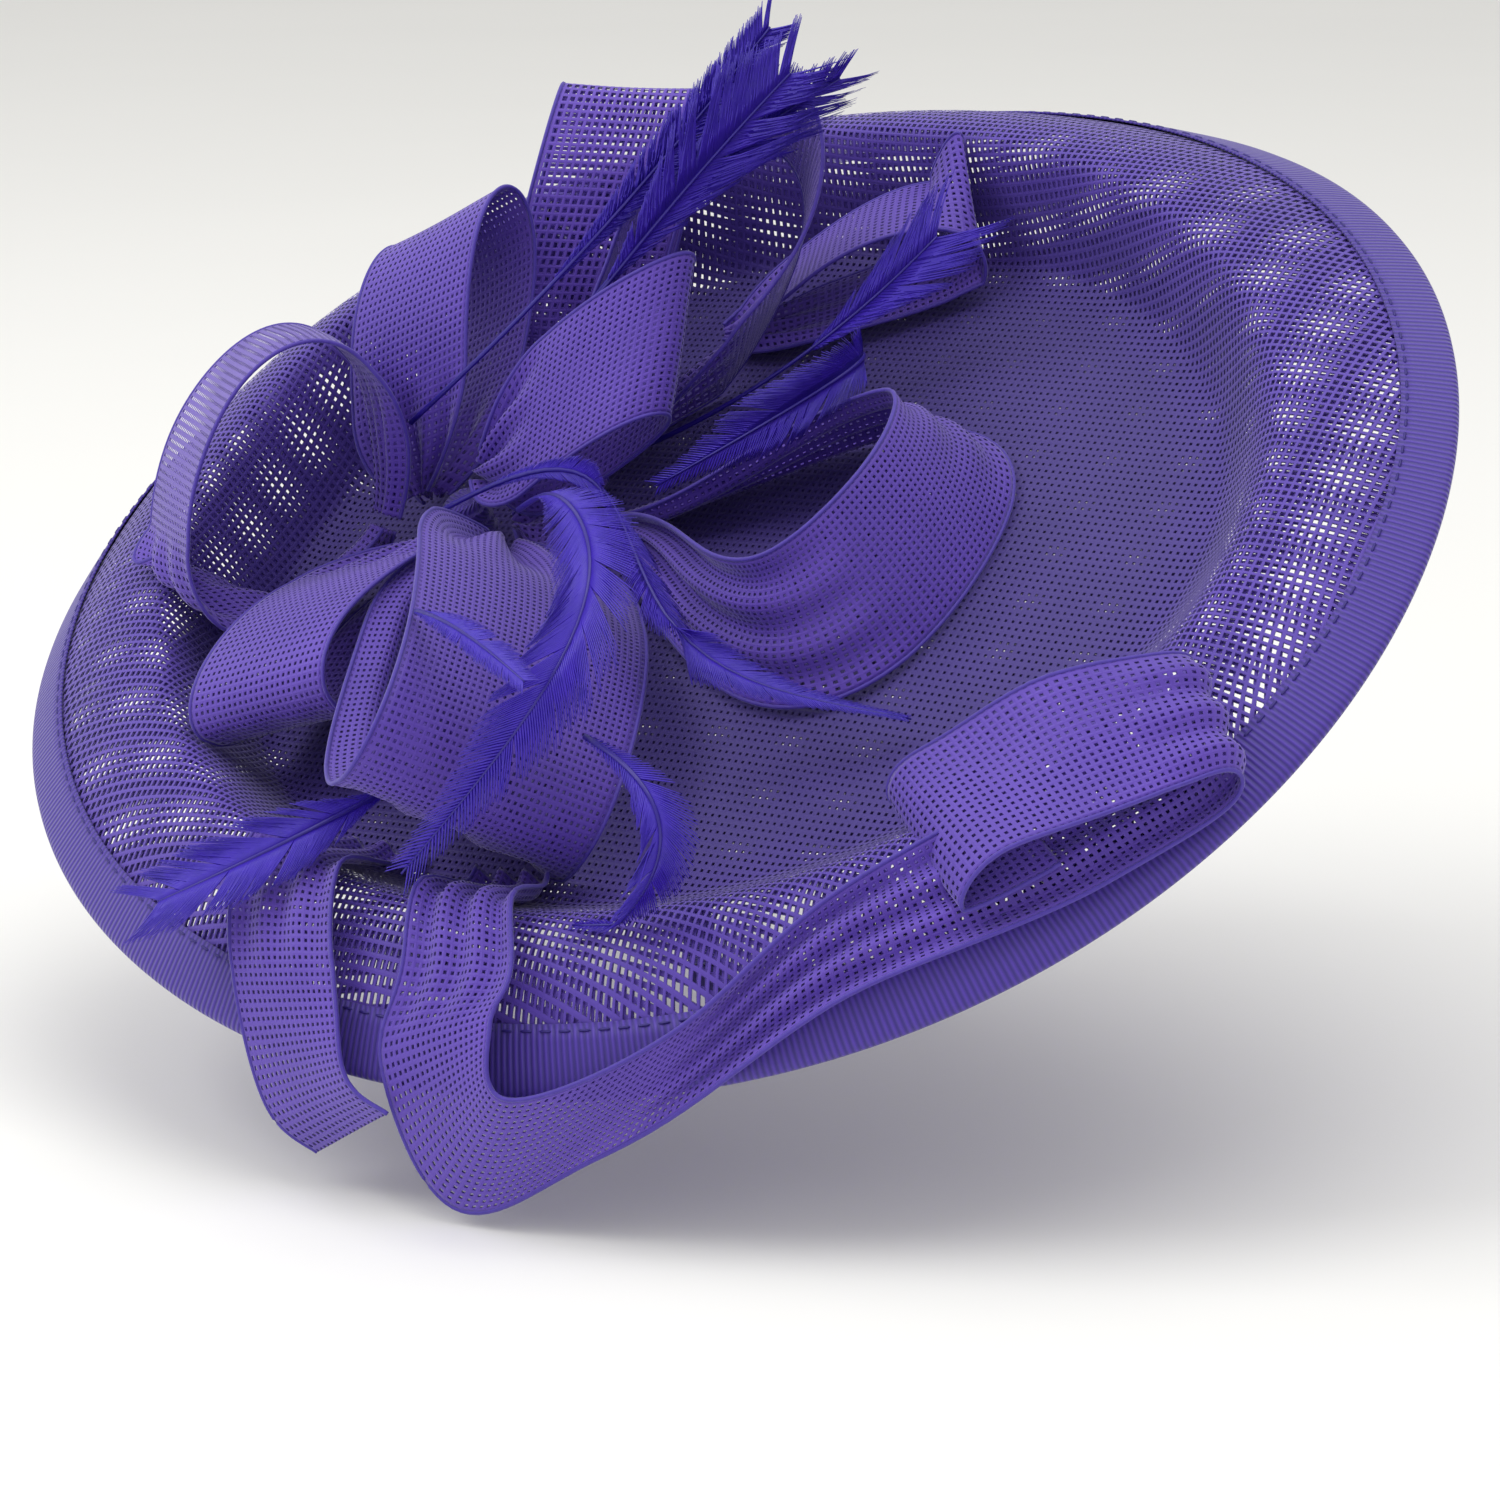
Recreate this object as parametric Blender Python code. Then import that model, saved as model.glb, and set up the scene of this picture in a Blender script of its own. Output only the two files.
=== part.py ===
"""Fascinator headpiece: an oval saucer of two mesh layers, bound and wired at its rim, trimmed with
ribbon loops and feathers, and worn on a sprung headband. Metres, +Z up, the wearer faces -Y.

The saucer's own frame has x to the wearer's left, y to the back and z out of the saucer's top. Its origin
is the centre of the underside of the base patch, and hat_tilt leans it on the head. Sizes are in mm."""

import math

import bmesh
import bpy
import numpy as np
from mathutils import Matrix

MM = 0.001

# How the hat sits on the head, in degrees.
TILT_TO_RIGHT = 33.5
TILT_FORWARD = 7.0

# Saucer brim.
SAUCER_LENGTH = 357.0
SAUCER_WIDTH = 327.0
FLOOR_HEIGHT = 2.5
FLOOR_SAG = 3.0
FLOOR_FLAT_SHARE = 0.25
FLOOR_SHARE = 0.67
RIDGE_SHARE = 0.776
RIDGE_SHARE_SWING = 0.03
RIDGE_HEIGHT = 23.0
RIDGE_SWELL = 11.0
RIDGE_HIGH_BEARING = 45.0
RIM_HEIGHT = 0.0
RIM_WAVE = 8.0
RIM_WAVE_BEARING = 27.0
BRIM_DROOP = 1.7
MESH_THICKNESS = 0.4
LAYER_SPACING = 0.8
SAUCER_SIDES = 48

# Rim binding and its wire.
BINDING_WIDTH = 12.0
BINDING_THICKNESS = 0.5
FOLD_MARGIN = 0.2
WIRE_RADIUS = 0.6
CLEARANCE = 0.3

# Base patch and headband.
PATCH_RADIUS = 32.0
PATCH_THICKNESS = 2.0
BAND_RADIUS = 76.0
BAND_SPAN = 118.0
BAND_ARM_FROM = 75.0
BAND_WIDTH = 8.0
BAND_THICKNESS = 1.0
WRAP_THICKNESS = 0.4
BAND_END_GAP = 0.4
TIP_LENGTH = 9.0

# Trim: where the ribbons are gathered, and the ribbon.
GATHER_X = 5.0
GATHER_Y = 70.0
WRAP_RADIUS = 6.0
WRAP_HEIGHT = 14.0
RIBBON_WIDTH = 38.0
WIDE_RIBBON_WIDTH = 58.0
NARROW_RIBBON_WIDTH = 25.0
RIBBON_THICKNESS = 0.8
FEATHER_THICKNESS = 0.6
QUILL_WIDTH = 1.6

# The trim below is laid out for a saucer of these sizes. On another saucer it is scaled by the smaller of
# the two ratios, so it never outgrows the brim.
LAID_OUT_LENGTH = 357.0
LAID_OUT_WIDTH = 327.0
TRIM_SCALE = min(SAUCER_LENGTH / LAID_OUT_LENGTH, SAUCER_WIDTH / LAID_OUT_WIDTH)

# Each loop: where it starts from the gather point, the way it reaches, the way its width lies, its reach
# and opening, its width, how pointed it is, and its twist at start, tip and end. Directions are a bearing
# from x towards y and a lift above the saucer's plane, in degrees.
LOOPS = {
    "loop_left_twist": dict(start=(-8, 18, 16), out=(120, 46), across=(50, -20), reach=52, opening=74,
                            width=RIBBON_WIDTH, pointed=0.3, twist=(0, 0, -40), rest=5.0),
    "loop_lower_left": dict(start=(-14, 1, 11), out=(172, 11), across=(100, -8), reach=72, opening=24,
                            width=RIBBON_WIDTH, pointed=0.8, twist=(0, 0, 20)),
    "loop_back_left": dict(start=(6, 14, 12), out=(-4, 40), across=(98, -18), reach=68, opening=22,
                           width=RIBBON_WIDTH, pointed=0.9, twist=(0, 0, 0)),
    "loop_sheer_left": dict(start=(46, 0, 2), out=(-20, 40), across=(-72, -20), reach=84, opening=16,
                            width=RIBBON_WIDTH, pointed=0.6, twist=(25, 0, -25)),
    "loop_sheer_right": dict(start=(24, -22, 6), out=(-42, 34), across=(60, -50), reach=95, opening=38,
                             width=RIBBON_WIDTH, pointed=0.6, twist=(0, 0, 0)),
    "loop_centre": dict(start=(4, -9, 20), out=(-70, 22), across=(-11, 40), reach=62, opening=18,
                        width=RIBBON_WIDTH, pointed=0.7, twist=(0, 0, 0)),
    "loop_right_ring": dict(start=(-1, -40, 2), out=(-100, 10), across=(0, -90), reach=96, opening=72,
                            width=RIBBON_WIDTH, pointed=2.2, twist=(-30, -25, -55), gathered=0.95),
    "loop_small_back": dict(start=(69, -42, 0), out=(-62, 8), across=(-160, 10), reach=70, opening=28,
                            width=NARROW_RIBBON_WIDTH, pointed=0.8, twist=(0, 0, 0), rest=5.0),
    "loop_front_bulge": dict(start=(-15, -18, 10), out=(-155, 10), across=(120, 50), reach=116, opening=42,
                             width=WIDE_RIBBON_WIDTH, pointed=0.7, twist=(0, 0, 50)),
    "ribbon_fold_under_centre": dict(start=(2, -12, 2), out=(-80, 0), across=(12, 8), reach=20, opening=5,
                                     width=NARROW_RIBBON_WIDTH, pointed=0.5, twist=(0, 0, 0)),
}

# Ribbons that lie on the brim. Each guide is a rib across the ribbon: the bearing round the oval in degrees,
# the share of the way to the rim and the height above the mesh, of its near edge and of its far edge. The
# sweep band goes out over the rim, turns along the brim and ends in a roll; the swirl goes out over the rim.
BANDS = {
    "front_sweep_band": [
        (180, 0.65, 3, 170, 0.65, 3), (185, 0.88, 8, 175, 0.88, 6), (184, 0.97, 13, 174, 1.0, 6),
        (185, 1.04, 14, 178, 1.08, -8), (197, 0.98, 10, 190, 1.05, 0), (212, 0.86, 4, 210, 0.97, 5),
        (230, 0.83, 3, 230, 0.98, 4),
        (245, 0.87, 5, 241, 1.0, 6), (245, 0.87, 17, 240, 1.0, 17), (225, 0.7, 18, 225, 0.95, 18),
        (220, 0.7, 8, 220, 0.95, 9), (228, 0.78, 7, 228, 0.95, 7)],
    "swirl_front_outer": [
        (160, 0.65, 3, 150, 0.7, 4), (165, 0.8, 7, 155, 0.85, 6), (170, 0.95, 9, 160, 0.98, 6),
        (172, 1.03, 10, 163, 1.05, -4), (175, 1.05, 8, 166, 1.05, -14)],
}

# Feathers: root and tip from the gather point, how far the quill bows aside, rises and sways between them,
# the vane's width and the way it lies, and the share of the length that is bare quill.
FEATHERS = {
    "plume_top_left": dict(root=(8, 10, 32), tip=(75, -86, 92), bow=6, rise=0, sway=0, width=12,
                           across=(-60, -10), bare=0.4, blunt=0.8),
    "plume_top_middle": dict(root=(16, -10, 24), tip=(62, -95, 88), bow=6, rise=6, sway=0, width=28,
                             across=(-60, -10), bare=0.4, blunt=0.5),
    "plume_top_right": dict(root=(21, -16, 28), tip=(68, -103, 81), bow=-5, rise=6, sway=0, width=26,
                            across=(-60, -10), bare=0.4, blunt=0.4),
    "fan_feather": dict(root=(28, -38, 6), tip=(70, -110, 32), bow=8, rise=0, sway=0, width=26,
                        across=(-130, -20), bare=0.55, blunt=0.8),
    "curled_feather": dict(root=(60, -74, 3), tip=(-8, -62, 24), bow=-38, rise=20, sway=0, width=15,
                           across=(0, 60), bare=0.0, blunt=0.2),
    "s_feather": dict(root=(-16, -5, 24), tip=(-64, -143, 4), bow=0, rise=20, sway=-16, width=12,
                      across=(50, 20), bare=0.1, blunt=0.05),
    "front_plume": dict(root=(-33, -43, 40), tip=(-142, -60, 34), bow=-45, rise=34, sway=6, width=20,
                        across=(-60, 0), bare=0.1, blunt=0.3),
    "front_biot": dict(root=(-112, -98, 46), tip=(-138, -93, 6), bow=-24, rise=8, sway=0, width=12,
                       across=(-45, 0), bare=0.0, blunt=0.1),
    "short_stub": dict(root=(-90, -52, 62), tip=(-120, -97, 70), bow=0, rise=4, sway=0, width=8,
                       across=(-80, 0), bare=0.0, blunt=0.5),
    "brush_feather": dict(root=(-107, -34, 23), tip=(-146, 6, 27), bow=-6, rise=4, sway=0, width=18,
                          across=(-170, -20), bare=0.0, blunt=0.8),
}


def unit(vector):
    return vector / np.linalg.norm(vector)


def heading(bearing, lift):
    """Unit direction from a bearing and a lift in degrees."""
    across = math.cos(math.radians(lift))
    east = math.cos(math.radians(bearing)) * across
    north = math.sin(math.radians(bearing)) * across
    return np.array([east, north, math.sin(math.radians(lift))])


def turned(vector, axis, degrees):
    """The vector turned about a unit axis."""
    angle = math.radians(degrees)
    along = axis * np.dot(axis, vector) * (1 - math.cos(angle))
    return vector * math.cos(angle) + np.cross(axis, vector) * math.sin(angle) + along


def smooth(share):
    share = min(max(share, 0.0), 1.0)
    return share * share * (3 - 2 * share)


def oval_point(bearing, share):
    """Point of the saucer's plan, bearing in degrees of the oval and share of the way to its rim."""
    angle = math.radians(bearing)
    return np.array([math.cos(angle) * share * SAUCER_WIDTH / 2, math.sin(angle) * share * SAUCER_LENGTH / 2])


def saucer_height(x, y):
    """Height of the lower mesh layer's middle: a shallow bowl, a wall up to a ridge and a drooping brim."""
    east = x / (SAUCER_WIDTH / 2)
    north = y / (SAUCER_LENGTH / 2)
    share = math.hypot(east, north)
    bearing = math.degrees(math.atan2(north, east))
    ridge_share = RIDGE_SHARE - RIDGE_SHARE_SWING * math.cos(math.radians(bearing - 40))
    ridge = RIDGE_HEIGHT + RIDGE_SWELL * math.cos(math.radians(bearing - RIDGE_HIGH_BEARING))
    rim = RIM_HEIGHT - RIM_WAVE * math.cos(math.radians(2 * (bearing - RIM_WAVE_BEARING)))
    floor = FLOOR_HEIGHT - FLOOR_SAG * smooth((share - FLOOR_FLAT_SHARE) / (FLOOR_SHARE - FLOOR_FLAT_SHARE))
    if share <= FLOOR_SHARE:
        return floor
    if share <= ridge_share:
        return floor + (ridge - floor) * smooth((share - FLOOR_SHARE) / (ridge_share - FLOOR_SHARE))
    return ridge + (rim - ridge) * ((share - ridge_share) / (1 - ridge_share)) ** BRIM_DROOP


def above(x, y, height):
    """Point at a height above the saucer's upper layer."""
    top = saucer_height(x, y) + LAYER_SPACING + MESH_THICKNESS / 2
    return np.array([x, y, top + height])


def from_gather(place):
    """Point at an offset from where the ribbons are gathered, with its height above the mesh."""
    x, y, height = np.array(place, float) * TRIM_SCALE
    return above(GATHER_X * TRIM_SCALE + x, GATHER_Y * TRIM_SCALE + y, height)


def above_brim(bearing, share, height):
    x, y = oval_point(bearing, share)
    return above(x, y, height)


def surface_frame(bearing, inward):
    """Point of the mesh surface at a distance inside the rim, its direction inwards and its normal."""
    rim = oval_point(bearing, 1.0)
    radius = np.linalg.norm(rim)
    places = []
    for distance in (inward, inward + 1.0):
        x, y = rim * (1 - distance / radius)
        places.append(np.array([x, y, saucer_height(x, y)]))
    ahead = oval_point(bearing + 0.5, 1 - inward / radius)
    behind = oval_point(bearing - 0.5, 1 - inward / radius)
    along = np.array([*ahead, saucer_height(*ahead)]) - np.array([*behind, saucer_height(*behind)])
    inwards = unit(places[1] - places[0])
    return places[0], inwards, unit(np.cross(along, inwards))


def material(name, colour, roughness, metallic=0.0):
    """Principled material from an sRGB hex colour."""
    made = bpy.data.materials.new(name)
    made.use_nodes = True
    shader = made.node_tree.nodes["Principled BSDF"]
    linear = []
    for start in (0, 2, 4):
        value = int(colour[start:start + 2], 16) / 255
        linear.append(value / 12.92 if value <= 0.04045 else ((value + 0.055) / 1.055) ** 2.4)
    shader.inputs["Base Color"].default_value = (*linear, 1.0)
    shader.inputs["Roughness"].default_value = roughness
    shader.inputs["Metallic"].default_value = metallic
    made.diffuse_color = (*linear, 1.0)
    return made


def add_object(name, data, parent, finish):
    made = bpy.data.objects.new(name, data)
    bpy.context.scene.collection.objects.link(made)
    made.parent = parent
    if finish:
        data.materials.append(material(name + "_finish", *finish))
    return made


def mesh_from(name, points, faces):
    """Mesh in metres from points in mm."""
    mesh = bpy.data.meshes.new(name)
    mesh.from_pydata([tuple(np.asarray(point) * MM) for point in points], [], faces)
    mesh.validate()
    mesh.shade_smooth()
    return mesh


def thicken(made, thickness):
    solid = made.modifiers.new("Thickness", "SOLIDIFY")
    solid.thickness = thickness * MM
    solid.offset = 0.0


def saucer_layer(name, parent, lift, finish):
    """One mesh layer, a dished sheet lifted along its normals, with its edge inside the binding's fold."""
    shares = [0.3, 0.6, 0.67, 0.695, 0.72, 0.75, 0.785, 0.83, 0.89, 0.94]
    points = [np.array([0.0, 0.0, saucer_height(0, 0)])]
    for share in shares:
        for side in range(SAUCER_SIDES):
            x, y = oval_point(360 * side / SAUCER_SIDES, share)
            points.append(np.array([x, y, saucer_height(x, y)]))
    edge = FOLD_MARGIN + BINDING_THICKNESS / 2 + 3 * CLEARANCE + 2 * WIRE_RADIUS
    for side in range(SAUCER_SIDES):
        points.append(surface_frame(360 * side / SAUCER_SIDES, edge)[0])
    faces = []
    for side in range(SAUCER_SIDES):
        faces.append((0, 1 + side, 1 + (side + 1) % SAUCER_SIDES))
    for ring in range(len(shares)):
        inner = 1 + ring * SAUCER_SIDES
        outer = inner + SAUCER_SIDES
        for side in range(SAUCER_SIDES):
            after = (side + 1) % SAUCER_SIDES
            faces.append((inner + side, outer + side, outer + after, inner + after))
    mesh = mesh_from(name, points, faces)
    offsets = [np.array(vertex.normal) * lift * MM for vertex in mesh.vertices]
    for vertex, offset in zip(mesh.vertices, offsets):
        vertex.co = np.array(vertex.co) + offset
    made = add_object(name, mesh, parent, finish)
    thicken(made, MESH_THICKNESS)
    return made


def edge_binding(parent, finish):
    """Ribbon folded over the rim: an inward-open U swept round the oval."""
    middle = LAYER_SPACING / 2
    leg = middle + MESH_THICKNESS / 2 + CLEARANCE + BINDING_THICKNESS / 2
    section = [(BINDING_WIDTH, leg), (BINDING_WIDTH / 2, leg), (1.6, leg), (FOLD_MARGIN + 0.3, leg * 0.6),
               (FOLD_MARGIN, 0.0), (FOLD_MARGIN + 0.3, -leg * 0.6), (1.6, -leg), (BINDING_WIDTH / 2, -leg),
               (BINDING_WIDTH, -leg)]
    points = []
    for side in range(SAUCER_SIDES):
        for inward, height in section:
            place, _, normal = surface_frame(360 * side / SAUCER_SIDES, inward)
            points.append(place + normal * (middle + height))
    faces = []
    count = len(section)
    for side in range(SAUCER_SIDES):
        here = side * count
        after = (side + 1) % SAUCER_SIDES * count
        for step in range(count - 1):
            faces.append((here + step, after + step, after + step + 1, here + step + 1))
    mesh = mesh_from("edge_binding", points, faces)
    made = add_object("edge_binding", mesh, parent, finish)
    thicken(made, BINDING_THICKNESS)
    return made


def rim_wire(parent, finish):
    """Millinery wire in the fold of the binding."""
    curve = bpy.data.curves.new("rim_wire", "CURVE")
    curve.dimensions = "3D"
    curve.bevel_depth = WIRE_RADIUS * MM
    curve.bevel_resolution = 1
    spline = curve.splines.new("POLY")
    spline.points.add(SAUCER_SIDES - 1)
    spline.use_cyclic_u = True
    inward = FOLD_MARGIN + BINDING_THICKNESS / 2 + CLEARANCE + WIRE_RADIUS
    for side in range(SAUCER_SIDES):
        place, _, normal = surface_frame(360 * side / SAUCER_SIDES, inward)
        spline.points[side].co = (*((place + normal * LAYER_SPACING / 2) * MM), 1.0)
    return add_object("rim_wire", curve, parent, finish)


def cylinder(name, parent, finish, radius, low, high, centre=(0.0, 0.0), bevel=0.0):
    work = bmesh.new()
    bmesh.ops.create_cone(work, cap_ends=True, segments=32, radius1=radius * MM, radius2=radius * MM,
                          depth=(high - low) * MM)
    bmesh.ops.translate(work, verts=work.verts, vec=(centre[0] * MM, centre[1] * MM, (low + high) / 2 * MM))
    mesh = bpy.data.meshes.new(name)
    work.to_mesh(mesh)
    work.free()
    made = add_object(name, mesh, parent, finish)
    if bevel:
        rounded = made.modifiers.new("Rounded edge", "BEVEL")
        rounded.width = bevel * MM
        rounded.segments = 2
    return made


def band_piece(name, parent, finish, start, end, rectangles, pivot=None):
    """Curved bar or sleeve of the headband between two polar angles from the saucer's z axis.

    rectangles holds one (width, inner radius, outer radius) for a bar and two, outer first, for a sleeve."""
    corners = []
    for width, inner, outer in rectangles:
        for side, radius in ((-1, inner), (1, inner), (1, outer), (-1, outer)):
            corners.append((0.0, side * width / 2, radius))
    work = bmesh.new()
    verts = [work.verts.new(np.array(corner) * MM) for corner in corners]
    if len(rectangles) == 1:
        work.faces.new(verts)
    else:
        for step in range(4):
            after = (step + 1) % 4
            work.faces.new((verts[step], verts[after], verts[4 + after], verts[4 + step]))
    turn = math.radians(end - start)
    steps = max(3, round(abs(end - start) / 6))
    bmesh.ops.rotate(work, verts=work.verts, cent=(0, 0, 0),
                     matrix=Matrix.Rotation(math.radians(start), 3, "Y"))
    bmesh.ops.spin(work, geom=work.verts[:] + work.edges[:] + work.faces[:], cent=(0, 0, 0), axis=(0, 1, 0),
                   dvec=(0, 0, 0), angle=turn, steps=steps, use_duplicate=False)
    bmesh.ops.remove_doubles(work, verts=work.verts, dist=0.00001)
    bmesh.ops.recalc_face_normals(work, faces=work.faces)
    centre = np.array([0.0, 0.0, -BAND_RADIUS - CLEARANCE])
    shift = centre if pivot is None else centre - pivot
    bmesh.ops.translate(work, verts=work.verts, vec=shift * MM)
    mesh = bpy.data.meshes.new(name)
    work.to_mesh(mesh)
    work.free()
    return add_object(name, mesh, parent, finish)


def band_sizes():
    """(width, inner radius, outer radius) of the core, the space round it, the wrap and the tip cap."""
    wrap_height = BAND_THICKNESS + 2 * CLEARANCE + 2 * WRAP_THICKNESS
    middle = BAND_RADIUS - wrap_height / 2
    core = (BAND_WIDTH, middle - BAND_THICKNESS / 2, middle + BAND_THICKNESS / 2)
    space = (BAND_WIDTH + 2 * CLEARANCE, core[1] - CLEARANCE, core[2] + CLEARANCE)
    wrap = (space[0] + 2 * WRAP_THICKNESS, space[1] - WRAP_THICKNESS, space[2] + WRAP_THICKNESS)
    return core, space, wrap


def headband(parent, wrap_finish, core_finish, tip_finish):
    """Sprung steel band in a satin wrap: a centre, and two arms that flex about the wrap's back."""
    core, space, wrap = band_sizes()
    gap = math.degrees(BAND_END_GAP / 2 / BAND_RADIUS)
    tip = math.degrees(TIP_LENGTH / BAND_RADIUS)
    crown = TILT_TO_RIGHT
    middle_start = crown - BAND_ARM_FROM + gap
    middle_end = crown + BAND_ARM_FROM - gap
    band_piece("band_core_centre", parent, core_finish, middle_start, middle_end, [core])
    band_piece("band_wrap_centre", parent, wrap_finish, middle_start, middle_end, [wrap, space])
    for side, name in ((-1, "right"), (1, "left")):
        axis_angle = math.radians(crown + side * BAND_ARM_FROM)
        pivot = np.array([math.sin(axis_angle) * BAND_RADIUS, 0.0,
                          math.cos(axis_angle) * BAND_RADIUS - BAND_RADIUS - CLEARANCE])
        arm = add_object(name + "_arm_axis", None, parent, None)
        arm.location = pivot * MM
        root = crown + side * (BAND_ARM_FROM + gap)
        tip_root = crown + side * (BAND_SPAN - tip)
        end = crown + side * BAND_SPAN
        join = side * gap * 2
        band_piece("band_core_" + name, arm, core_finish, root, tip_root - join, [core], pivot)
        band_piece("band_wrap_" + name, arm, wrap_finish, root, tip_root - join, [wrap, space], pivot)
        band_piece("band_tip_" + name, arm, tip_finish, tip_root, end, [wrap], pivot)


def resting(point, rest):
    """The point, or the place straight above it where something that rests on the mesh lies."""
    x, y, height = point
    share = math.hypot(x / (SAUCER_WIDTH / 2), y / (SAUCER_LENGTH / 2))
    if share > 1:
        return point
    return np.array([x, y, max(height, above(x, y, rest)[2])])


def ribs_between(near, far, rest):
    return [resting(point, rest) for point in (near, (near + far) / 2, far)]


def strip(name, parent, ribs, thickness, finish):
    """Closed strip through ribs of three points across it."""
    points = []
    faces = []
    for step, rib in enumerate(ribs):
        points.extend(rib)
        if step:
            here = 3 * step
            for column in (0, 1):
                faces.append((here - 3 + column, here - 2 + column, here + 1 + column, here + column))
    mesh = mesh_from(name, points, faces)
    made = add_object(name, mesh, parent, finish)
    thicken(made, thickness)
    return made


def teardrop(around, pointed):
    """How far a loop bulges at an angle round it, where a larger pointed draws its root in."""
    return math.sin(2 * around) * math.sin(around) ** pointed


def loop_ribs(start, out, across, reach, opening, width, pointed, twist, rest=2.0, gathered=0.6, steps=26):
    """Ribs of a ribbon loop that leaves the gather, goes round a teardrop and comes back."""
    outward = heading(*out)
    wide = heading(*across)
    side = unit(np.cross(wide, outward))
    reach, opening, width = (value * TRIM_SCALE for value in (reach, opening, width))
    root = from_gather(start)
    fullest = max(teardrop(math.pi * n / 200, pointed) for n in range(1, 100))
    centres = []
    for step in range(steps + 1):
        share = step / steps
        around = math.pi * share
        sideways = teardrop(around, pointed) * opening / 2 / fullest
        spread = RIBBON_THICKNESS * 2 * math.cos(around)
        centres.append(root + outward * reach * math.sin(around) ** 2 + side * (sideways + spread))
    ribs = []
    for step, centre in enumerate(centres):
        share = step / steps
        before = centres[max(step - 1, 0)]
        after = centres[min(step + 1, steps)]
        first, middle, last = twist
        angle = first + (middle - first) * smooth(share * 2) + (last - middle) * smooth(share * 2 - 1)
        half = width / 2 * (0.2 + 0.8 * smooth(math.sin(math.pi * share) / gathered))
        lying = turned(wide, unit(after - before), angle)
        ribs.append(ribs_between(centre - lying * half, centre + lying * half, rest))
    return ribs


def smooth_through(values, step):
    """Value of a smooth curve through a list of rows, where step 1.5 is midway from row 1 to row 2."""
    low = min(int(step), len(values) - 2)
    part = step - low
    rows = [np.array(values[min(max(low + shift, 0), len(values) - 1)], float) for shift in (-1, 0, 1, 2)]
    before, here, after, beyond = rows
    straight = here * 2 + (after - before) * part
    bend = (before * 2 - here * 5 + after * 4 - beyond) * part ** 2
    ease = (here * 3 - before - after * 3 + beyond) * part ** 3
    return (straight + bend + ease) / 2


def band_ribs(guides, samples=4):
    """Ribs of a ribbon laid along the brim through its guides."""
    ribs = []
    for count in range((len(guides) - 1) * samples + 1):
        row = smooth_through(guides, count / samples)
        near, far = row[:3], row[3:]
        ribs.append([above_brim(*near), above_brim(*((near + far) / 2)), above_brim(*far)])
    return ribs


def feather_ribs(root, tip, bow, rise, sway, width, across, bare, blunt, rest=2.0, steps=9):
    """Ribs across a feather's vane along its bowed quill."""
    gather = from_gather((0.0, 0.0, 0.0))
    first = gather + np.array(root, float) * TRIM_SCALE
    last = gather + np.array(tip, float) * TRIM_SCALE
    bow, rise, sway, width = (value * TRIM_SCALE for value in (bow, rise, sway, width))
    along = last - first
    aside = unit(np.array([along[1], -along[0], 0.0]))
    wide = heading(*across)
    ribs = []
    for step in range(steps + 1):
        share = step / steps
        arch = 4 * share * (1 - share)
        centre = first + along * share + aside * (bow * arch + sway * math.sin(2 * math.pi * share))
        centre = centre + np.array([0.0, 0.0, rise * arch])
        vane = smooth((share - bare) / 0.35) * (1 - (1 - blunt) * smooth((share - 0.65) / 0.35))
        half = (QUILL_WIDTH + (width - QUILL_WIDTH) * vane) / 2
        ribs.append(ribs_between(centre - wide * half, centre + wide * half, rest))
    return ribs


def clear_scene():
    for old in list(bpy.data.objects):
        bpy.data.objects.remove(old, do_unlink=True)


def main():
    clear_scene()
    tilt = bpy.data.objects.new("hat_tilt", None)
    bpy.context.scene.collection.objects.link(tilt)
    tilt.rotation_euler = (math.radians(-TILT_FORWARD), math.radians(-TILT_TO_RIGHT), 0.0)
    mesh_finish = ("3A1F8F", 0.6)
    saucer_layer("saucer_lower_layer", tilt, 0.0, mesh_finish)
    saucer_layer("saucer_upper_layer", tilt, LAYER_SPACING, mesh_finish)
    edge_binding(tilt, ("43249C", 0.45))
    rim_wire(tilt, ("2A1870", 0.5))
    cylinder("base_patch", tilt, ("2C1A6B", 0.9), PATCH_RADIUS, 0.0, PATCH_THICKNESS)
    headband(tilt, ("3A2090", 0.35), ("B8BBC0", 0.3, 1.0), ("2C1A6B", 0.4))
    gather_x, gather_y, top = from_gather((0.0, 0.0, 0.0))
    cylinder("gather_wrap", tilt, mesh_finish, WRAP_RADIUS * TRIM_SCALE, top + CLEARANCE,
             top + WRAP_HEIGHT * TRIM_SCALE, (gather_x, gather_y), 1.5)
    for name, shape in LOOPS.items():
        strip(name, tilt, loop_ribs(**shape), RIBBON_THICKNESS, mesh_finish)
    for name, guides in BANDS.items():
        strip(name, tilt, band_ribs(guides), RIBBON_THICKNESS, mesh_finish)
    for name, shape in FEATHERS.items():
        strip(name, tilt, feather_ribs(**shape), FEATHER_THICKNESS, ("2E12A0", 0.4))


if __name__ == "__main__":
    main()
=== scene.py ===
"""Looks of the fascinator headpiece: open mesh saucer, ribbon loops, feathers, bound rim and wrapped headband.

Shapes are worked out in the hat's own frame, in millimetres, and turned into the model's frame at the end."""

import math
import random

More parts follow.
